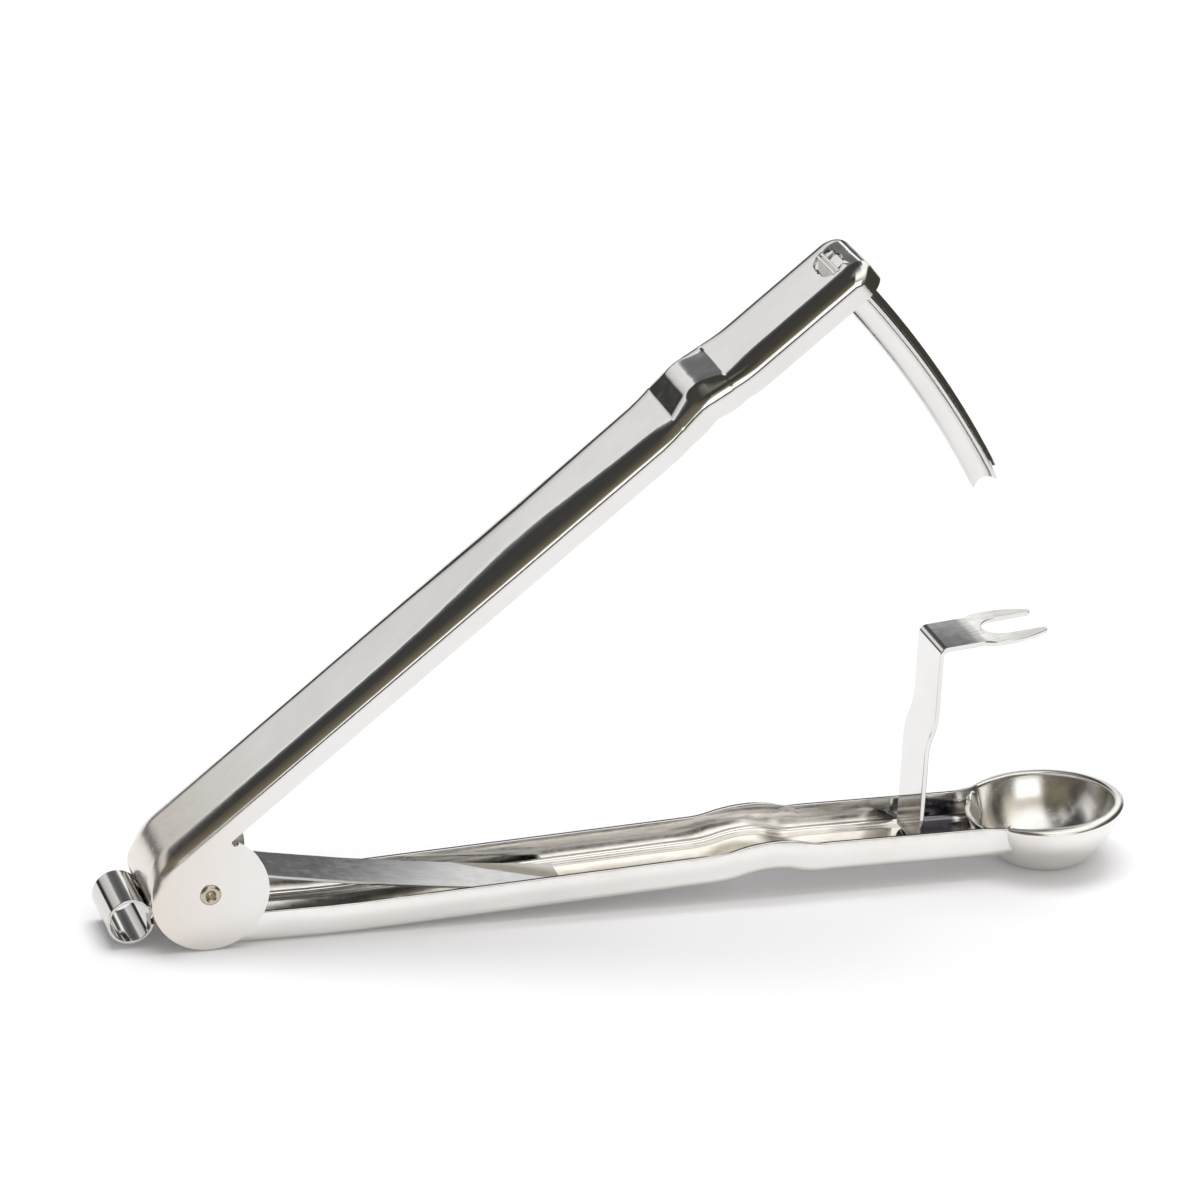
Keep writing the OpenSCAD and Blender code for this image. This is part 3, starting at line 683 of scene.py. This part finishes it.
bmesh.ops.delete(bm, geom=[f for f in bm.faces if on_top(f)], context="FACES")
border = [e for e in bm.edges if len(e.link_faces) == 1 and on_top(e)]
first_verts = set(bm.verts)
line = pull(bm, [bm.verts.new((2.4, 0, 0))], (0, 0.7, 0))
line = pull(bm, line, (-0.2, 0, 0))
line = pull(bm, line, (0, 1.1, 0))
line = swing(bm, line, (0, 1.8, 0), (0, 0, 1), 71.44, 8.0)
line = pull(bm, line, (0, 0.515, 0))
pull(bm, line, (-0.7, 0, 0))
for axis in "XY":
    drawn = [v for v in bm.verts if v not in first_verts]
    bmesh.ops.mirror(bm, geom=with_edges(drawn), axis=axis, merge_dist=0.001)
drawn = [v for v in bm.verts if v not in first_verts]
bmesh.ops.translate(bm, vec=(HOLE_X, 0, CROWN_Z), verts=drawn)
for vert in drawn:
    past = max(0.0, vert.co.x - tip_place[0])
    vert.co.z += math.sqrt(SHOULDER_R ** 2 - past ** 2) - SHOULDER_R
border += with_edges(drawn)[len(drawn):]
filled = bmesh.ops.triangle_fill(bm, use_beauty=True, edges=border, normal=(0, 0, 1))
print("crown round the hole:", len(filled["geom"]), "elements")
upper_arm = make_piece("upper_arm_pressing", bm, OPEN_ANGLE, outermost(2, 1), sheet=SHEET)
seat(upper_arm, "upper", "upper_arm", polished_steel)

# %% [markdown]
# ## Lower arm
# The lower arm opens upwards. Its channel is swept like the upper one, with a heel that wraps up behind
# the rivet. The cup is lathed instead, because a sweep can't close round a hollow, and the two are joined
# where the channel enters the cup.

# %% Lower arm: half a channel, swept to the cup
LOWER_W, LOWER_D, LOWER_EDGE = 16.1, 5.5, 1.8
CUP_X, PIT_X, BALL_R, TABLE = 146.12, 144.32, 13.775, -9.9
BALL_Z, RIM_Z = 11.933 + TABLE, 9.148 + TABLE
HEEL_START = (-7.58384, -6.3636, -50.0)
HEEL_EAR = 6.801
FLOOR_STEPS = [
    (0.0, 50.0, 9.9), (HEEL_EAR, 0, 0), (20.0 - HEEL_EAR, 2.7, 120.0), (60.4, 13.2517, 19.8723),
    (0.4, -13.2517, 19.8723), (0.4, -17.8791, 13.2232), (0.4, 17.8791, 13.2232), (0.4, -2.7, 30.0),
    (25.0, 0, 0),
] + [(0.5, 0, 0)] * 10
half = LOWER_W / 2
bm = bmesh.new()
line = pull(bm, [bm.verts.new((0, -half, LOWER_D))], (0, 0, LOWER_EDGE - LOWER_D))
line = swing(bm, line, (0, LOWER_EDGE - half, LOWER_EDGE), (1, 0, 0), 90.0, 9.0)
pull(bm, line, (0, half - LOWER_EDGE, 0))
bmesh.ops.remove_doubles(bm, verts=bm.verts, dist=0.0001)
set_at(bm, HEEL_START)
_, cup_place = sweep(bm, whole(bm), HEEL_START, FLOOR_STEPS)
print("channel swept to", tuple(round(v, 3) for v in cup_place))

# %% [markdown]
# Where it meets the cup, the channel flares and lies against the ball without a corner, as a drawn sheet
# does. Each line along the channel keeps its points, spread between the flare's start and the ball, and
# its end stops half way into the cup's wall. The sheet's other face ends up to 0.3 mm further in, which
# leaves a thin crease inside the cup.

# %% Lower arm: flare into the cup
FLARE_AT, FLARE, INTO_WALL = CUP_X - 14.2, 1.7, 0.4
for vert in bm.verts:
    along = (vert.co.x - FLARE_AT) / (cup_place[0] - FLARE_AT)
    if along <= 0.0:
        continue
    wider = FLARE / half * (vert.co.z - cup_place[1]) / LOWER_D
    rise, last_y = vert.co.z - BALL_Z, vert.co.y * (1.0 + wider)
    reach = CUP_X - math.sqrt((BALL_R - INTO_WALL) ** 2 - rise ** 2 - last_y ** 2)
    vert.co.x = FLARE_AT + along * (reach - FLARE_AT)
    vert.co.y *= 1.0 + wider * along ** 2
print("flare's half width at the cup:", round(half + FLARE, 2))

# %% [markdown]
# The lower ears lie inside the upper ones and turn on the rivet, so their bores are a little wider. They
# are drawn from the heel round to the channel's rim, and filled in the same way.

# %% Lower arm: ears
HEEL_R, HEEL_ANGLE, HEEL_SWING = 8.1, 220.0, -252.9
heel_corner = on_ring(HEEL_R, HEEL_ANGLE, -half)
at_heel = min(bm.verts, key=lambda v: (v.co - heel_corner).length)
swing(bm, [at_heel], (0, -half, 0), (0, -1, 0), HEEL_SWING, 5.0)
fill_ear(bm, half, bore=1.55, reach=8.3, last_x=HEEL_EAR)
bmesh.ops.mirror(bm, geom=whole(bm), axis="Y", merge_dist=0.001)

# %% [markdown]
# The cup is a lathe job: an arc, and a lip that leans in and so slopes outwards, spun once round. A UV
# sphere could be cut down to it, but its rings wouldn't end at the rim. The flat bottom is filled
# round the pit hole. The lip is narrower towards the channel, so its inner ring is moved point by point.

# %% Lower arm: cup
FOOT_R, CUP_ARC, PIT_R = 6.89, 48.0, 4.8
LIP, LIP_SLOPE, LIP_R, LIP_Z = 1.45, 0.3, 13.474, 9.069 + TABLE
LIP_LESS, NARROWS_AT, NARROWS_OVER = 0.8, 3.0, 6.0
cup = bmesh.new()
foot = cup.verts.new((CUP_X + FOOT_R, 0, TABLE))
line = swing(cup, [foot], (CUP_X, 0, BALL_Z), (0, -1, 0), CUP_ARC, 3.5)
pull(cup, line, (-LIP, 0, LIP * LIP_SLOPE))
bmesh.ops.spin(cup, geom=whole(cup), cent=(CUP_X, 0, 0), axis=(0, 0, 1), angle=math.radians(360),
               steps=120, use_merge=True)
bmesh.ops.remove_doubles(cup, verts=cup.verts, dist=0.001)
bmesh.ops.create_circle(cup, segments=64, radius=PIT_R, matrix=Matrix.Translation((PIT_X, 0, TABLE)))
bottom = [e for e in cup.edges if len(e.link_faces) < 2
          and all(abs(v.co.z - TABLE) < 0.01 for v in e.verts)]
bmesh.ops.triangle_fill(cup, use_beauty=True, edges=bottom, normal=(0, 0, -1))
for vert in cup.verts:
    if vert.co.z > LIP_Z + 0.02:
        out = Vector((vert.co.x - CUP_X, vert.co.y, 0)).normalized()
        near = min(1.0, max(0.0, (CUP_X - NARROWS_AT - vert.co.x) / NARROWS_OVER))
        wide = LIP - LIP_LESS * near
        vert.co = Vector((CUP_X, 0, LIP_Z + wide * LIP_SLOPE)) + out * (LIP_R - wide)
print("cup:", len(cup.faces), "faces, lip of", LIP, "mm")

# %% [markdown]
# The channel opens into the cup over a low sill, through a doorway that is wider at the top. A boolean
# could cut it, but three bisect cuts leave cleaner faces: they draw the sill and both sides into the
# wall, and the faces between them are deleted. At last the rim is tilted, higher at the far end and on
# the near side. Each point rises by its share of the height, so the bottom stays on the table.

# %% Lower arm: doorway and tilted rim
SILL_Z, DOOR_TOP, DOOR_FOOT, DOOR_X = 7.5 + TABLE, 8.85, 6.6, CUP_X - 6.0
RIM_UP, RIM_ALONG, RIM_ACROSS = 0.6, 0.065, 0.03
lean = (DOOR_TOP - DOOR_FOOT) / (RIM_Z - SILL_Z)
cuts = [((0, 0, SILL_Z), (0, 0, 1))]
cuts += [((0, side * DOOR_FOOT, SILL_Z), (0, 1, -side * lean)) for side in (1, -1)]
for point, normal in cuts:
    wall = [f for f in cup.faces if f.calc_center_median().x < DOOR_X]
    wall += list(dict.fromkeys(e for f in wall for e in f.edges))
    wall += list(dict.fromkeys(v for f in wall for v in f.verts))
    bmesh.ops.bisect_plane(
        cup, geom=wall, plane_co=point, plane_no=Vector(normal).normalized(), dist=0.0005)
middles = {f: f.calc_center_median() for f in cup.faces}
doorway = [f for f, c in middles.items() if c.x < DOOR_X and c.z > SILL_Z
           and abs(c.y) < DOOR_FOOT + lean * (c.z - SILL_Z)]
bmesh.ops.delete(cup, geom=doorway, context="FACES")
for vert in cup.verts:
    share = (vert.co.z - TABLE) / (RIM_Z - TABLE)
    vert.co.z += share * (RIM_UP + RIM_ALONG * (vert.co.x - CUP_X) - RIM_ACROSS * vert.co.y)
print("doorway of", len(doorway), "faces, rim up to", round(max(v.co.z for v in cup.verts) - TABLE, 2))

# %% [markdown]
# Channel and cup become one mesh, of two closed shells that overlap where they meet. A boolean union
# would make one shell of them, but it leaves slivers along the seam, which a mirror finish shows.

# %% Lower arm: channel and cup as one piece
def join_in(bm, other):
    mesh = bpy.data.meshes.new("joined")
    other.to_mesh(mesh)
    other.free()
    bm.from_mesh(mesh)
    bpy.data.meshes.remove(mesh)


bmesh.ops.recalc_face_normals(cup, faces=cup.faces)
join_in(bm, cup)
lower_arm = make_piece(
    "lower_arm_pressing", bm, 0.0, outermost(2, -1), sheet=SHEET, rim=0.18, clean=0.012)
seat(lower_arm, "lower", "lower_arm", drawn_steel)

# %% [markdown]
# ## Rivet
# A semi-tubular rivet: a domed head on the far side, and on the near side a rolled ring round a small
# hollow. It is a lathe job, so half of its outline is drawn and spun once about the hinge's own axis.

# %% Rivet
ROLL_Y, HEAD_R, HEAD_CENTRE = 9.0, 2.8, 5.1944
bm = bmesh.new()
line = pull(bm, [bm.verts.new((0.0, -8.4, 0))], (0.35, -0.05, 0))
line = pull(bm, line, (0.35, -0.55, 0))
line = swing(bm, line, (1.225, -ROLL_Y, 0), (0, 0, 1), 180.0, 15.0)
line = pull(bm, line, (-0.25, 0, 0))
line = pull(bm, line, (0, 2 * ROLL_Y, 0))
line = pull(bm, line, (1.3, 0, 0))
head_angle = math.degrees(math.atan2(HEAD_R, ROLL_Y - HEAD_CENTRE))
swing(bm, line, (0, HEAD_CENTRE, 0), (0, 0, 1), head_angle, 3.0)
bmesh.ops.spin(bm, geom=whole(bm), axis=(0, 1, 0), angle=math.radians(360), steps=64, use_merge=True)
rivet = make_piece("rolled_rivet", bm, 0.0, outermost(1, -1), rim=0.0)
seat(rivet, "upper", "pivot_rivet", rivet_steel_and_shade)

# %% [markdown]
# ## Plunger
# The plunger is a curved rod with four ridges and hollow flanks between them. A rod with grooves could
# be carved with booleans, but the star is the same all along, so it is drawn once, a quarter at a time,
# and swept along the rod's curve.

# %% Plunger: star section
RIDGE, LAND, WAIST, STAR_TURN = 3.0, 0.5, 1.5, -26.0
flank = Vector((math.sqrt(RIDGE ** 2 - LAND ** 2 / 4), LAND / 2))
away = (RIDGE ** 2 - WAIST ** 2) / (math.sqrt(2.0) * (flank.x + flank.y) - 2 * WAIST)
hollow = away * math.sqrt(0.5)
bm = bmesh.new()
line = pull(bm, [bm.verts.new((0, flank.x, -LAND / 2))], (0, 0, LAND))
opening = math.degrees(math.atan2(hollow - flank.y, hollow - flank.x))
flank_angle = 2.0 * abs(opening - 45.0)
swing(bm, line, (0, hollow, hollow), (1, 0, 0), -flank_angle, 8.0)
bmesh.ops.spin(bm, geom=whole(bm), axis=(1, 0, 0), angle=math.radians(270), steps=3, use_duplicate=True)
bmesh.ops.remove_doubles(bm, verts=bm.verts, dist=0.01)
bmesh.ops.rotate(bm, verts=bm.verts, matrix=Matrix.Rotation(math.radians(STAR_TURN), 3, "X"))
print("star:", len(bm.verts), "points, flank radius", round(away - WAIST, 2), "mm")

# %% [markdown]
# Its working end is hollowed like a cup, which leaves four sharp points. The end face is inset three
# times, and every point of it sinks onto a ball, deepest in the middle.

# %% Plunger: rod and working end
PLUNGER_START = (HOLE_X, 8.65, -84.6)
ROD_BEND, ROD_R, BALL_END = -16.1776, 170.0, 5.0
ridge_rise = math.sqrt(BALL_END ** 2 - RIDGE ** 2)
set_at(bm, PLUNGER_START)
top_loop = bm.edges[:]
front, plunger_end = sweep(bm, whole(bm), PLUNGER_START, [(0.0, ROD_BEND, ROD_R)], 0.7)
end_point = Vector((plunger_end[0], 0, plunger_end[1]))
end_slope = math.radians(plunger_end[2])
back = -Vector((math.cos(end_slope), 0, math.sin(end_slope)))
end_loop = [g for g in front if isinstance(g, bmesh.types.BMEdge)]
cap = bmesh.ops.contextual_create(bm, geom=end_loop)["faces"]
for smaller in (0.75, 0.67, 0.5):
    bmesh.ops.inset_individual(bm, faces=cap, thickness=0.0)
    inner = [v for f in cap for v in f.verts]
    bmesh.ops.scale(bm, vec=(smaller,) * 3, space=Matrix.Translation(-end_point), verts=inner)
for vert in bm.verts:
    if (vert.co - end_point).dot(back) < 0.05:
        off = min(RIDGE, (vert.co - end_point).length)
        vert.co += back * (math.sqrt(BALL_END ** 2 - off * off) - ridge_rise)
bmesh.ops.contextual_create(bm, geom=top_loop)
print("plunger ends at", tuple(round(v, 2) for v in end_point))

# %% [markdown]
# In the hole of the crown lies the stake: a double bar, lower lands beside it and a recess between. These
# are small blocks, some with a top that falls to one side, and all reach down into the rod.

# %% Plunger: stake
STAKE_FOOT = -1.7


def block(low, high, fall=0.0):
    middle = [(a + b) / 2 for a, b in zip(low, high)]
    size = [b - a for a, b in zip(low, high)]
    placed = Matrix.Translation((HOLE_X, 0, CROWN_Z)) @ Matrix.Translation(middle)
    made = bmesh.ops.create_cube(bm, size=1.0, matrix=placed @ Matrix.Diagonal((*size, 1)))["verts"]
    back_top = [v for v in made if v.co.x < HOLE_X + middle[0] and v.co.z > CROWN_Z + middle[2]]
    bmesh.ops.translate(bm, vec=(0, 0, -fall), verts=back_top)


block((-2.35, -3.3, STAKE_FOOT), (-0.5, 3.3, -0.2), 0.5)
for left, right in ((-0.62, -0.1), (0.1, 0.62)):
    block((left, -4.3, STAKE_FOOT), (right, 4.3, 0.05))
block((-0.3, -4.2, STAKE_FOOT), (0.3, 4.2, -0.35), 0.1)
block((0.4, -3.1, STAKE_FOOT), (2.1, 0.9, -0.12))
block((0.4, 2.0, STAKE_FOOT), (2.05, 3.0, -0.12))
plunger = make_piece(
    "ridged_plunger", bm, OPEN_ANGLE, lambda b: b.calc_volume(signed=True) > 0, rim=0.2)
seat(plunger, "upper", "plunger", polished_steel)

# %% [markdown]
# ## Fork
# A bent strip: a foot on the channel's floor, an upright with a slight set, a fold, and a plate that
# ends in two claws round a slot. The strip is one swept edge. The plate continues it as an outline of
# straights and arcs, half of it drawn and mirrored, which is filled at once.
# The plate is twisted by a degree or so, as bent strips are, so its claws catch more light.

# %% Fork: strip
STRIP_W, PLATE_START = 10.6, 4.0
FORK_START = (129.42, 4.848 + TABLE, 180.0)
FORK_STEPS = [
    (6.0, -90.0, 1.1), (16.0, -18.9246, 11.75), (0.4, 18.9246, 11.75), (10.1576, -84.2, 1.1),
    (PLATE_START, 0, 0)]
bm = bmesh.new()
pull(bm, [bm.verts.new((0, -STRIP_W / 2, 0))], (0, STRIP_W / 2, 0))
set_at(bm, FORK_START)
_, plate_place = sweep(bm, whole(bm), FORK_START, FORK_STEPS, 4.0)
bmesh.ops.mirror(bm, geom=whole(bm), axis="Y", merge_dist=0.001)
print("plate starts at", tuple(round(v, 2) for v in plate_place))

# %% Fork: outline of the plate
PLATE_LEFT = 17.8023 - PLATE_START
SLOT, SLOT_LEN, CLAW_W, CLAW_AT, SHOULDER, TINE_R = 6.8, 9.9, 13.1, 2.6, 1.5, 0.75
root = PLATE_LEFT - SLOT_LEN
tip_x, tip_y = PLATE_LEFT - TINE_R, -SLOT / 2 - TINE_R
drop = CLAW_W / 2 + tip_y - TINE_R
run = tip_x - root - CLAW_AT
claw_r = (run * run + drop * drop) / (2 * drop)
swing_angle = math.degrees(math.asin(run / claw_r))
lead_angle = math.degrees(math.asin(CLAW_AT / claw_r))
plate = bmesh.new()
line = pull(plate, [plate.verts.new((0, 0, 0))], (0, -STRIP_W / 2, 0))
line = pull(plate, line, (root - SHOULDER, 0, 0))
start = Vector((root, -CLAW_W / 2 + claw_r - claw_r * math.cos(math.radians(lead_angle)), 0))
here = next(v for v in line if isinstance(v, bmesh.types.BMVert)).co
line = pull(plate, line, start - here)
claw_centre = (root + CLAW_AT, claw_r - CLAW_W / 2, 0)
line = swing(plate, line, claw_centre, (0, 0, 1), lead_angle + swing_angle, 4.0)
line = swing(plate, line, (tip_x, tip_y, 0), (0, 0, 1), 180.0, 15.0)
line = pull(plate, line, (root + SLOT / 2 - tip_x, 0, 0))
swing(plate, line, (root + SLOT / 2, 0, 0), (0, 0, 1), -90.0, 7.5)
print("claws' outer radius:", round(claw_r, 2), "mm")

# %% Fork: twisted plate
TWISTS_AT, TWIST = (0.8, 1.6, 2.9), -0.45
bmesh.ops.mirror(plate, geom=whole(plate), axis="Y", merge_dist=0.001)
bmesh.ops.contextual_create(plate, geom=plate.edges[:])
for fold_x in TWISTS_AT:
    fold = (fold_x, 0, 0)
    bmesh.ops.bisect_plane(plate, geom=whole(plate), plane_co=fold, plane_no=(1, 0, 0))
    beyond = [v for v in plate.verts if v.co.x > fold_x + 0.01]
    bmesh.ops.rotate(
        plate, verts=beyond, cent=fold, matrix=Matrix.Rotation(math.radians(TWIST), 3, "X"))
set_at(plate, plate_place)
join_in(bm, plate)
fork = make_piece("bent_fork", bm, 0.0, outermost(2, 1), sheet=SHEET, grow=0.0, rim=0.22)
seat(fork, "lower", "fork", strip_steel)

# %% [markdown]
# ## Leaf spring
# One strip of spring steel: an open loop behind the rivet, and two leaves that leave it through a tight
# neck. Both leaves start from the same edge of the loop. On the real tool, when the arms close, the loop
# and the lower leaf stay with the lower arm and the upper leaf goes with the upper one; here the piece is
# attached to neither arm.

# %% Leaf spring
LOOP_W, LEAF_W, LOOP_SWING, LOOP_R, NECK = 11.6, 9.4, 306.0, 3.64, 0.4
UPPER_LEAVE = (-9.57441, 7.2355 + TABLE, -46.0)
LOOP_START = (-9.57441, 7.2355 + TABLE, 134.0)
UPPER_LEAF = [(0.4, 94.6631, 0.9), (7.45986, -8.3631, 418.284)]
LOWER_LEAF = [(0.4, -37.756, 0.9), (9.42521, -53.7949, 1.9), (0.4, 6.7, 520.661)]


def narrow(front):
    for vert in (g for g in front if isinstance(g, bmesh.types.BMVert)):
        vert.co.y = math.copysign(LEAF_W / 2, vert.co.y)


bm = bmesh.new()
pull(bm, [bm.verts.new((0, -LOOP_W / 2, 0))], (0, LOOP_W, 0))
set_at(bm, LOOP_START)
mouth = whole(bm)
front, place = sweep(bm, mouth, LOOP_START, [(0.0, LOOP_SWING, LOOP_R)], 4.0)
for start, place, steps in ((front, place, LOWER_LEAF), (mouth, UPPER_LEAVE, UPPER_LEAF)):
    leaf, place = sweep(bm, start, place, [(NECK, 0, 0)])
    narrow(leaf)
    _, place = sweep(bm, leaf, place, steps, 1.5)
    print("leaf ends at", tuple(round(v, 2) for v in place))
spring = make_piece("leaf_spring_strip", bm, 0.0, lambda b: True, sheet=0.5, grow=0.0, rim=0.1)
spring.data.materials.append(spring_steel)
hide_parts("leaf_spring")
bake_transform(spring)

# %% [markdown]
# At last the view transform is set to Standard.

# %% Finish
bpy.context.scene.view_settings.view_transform = "Standard"
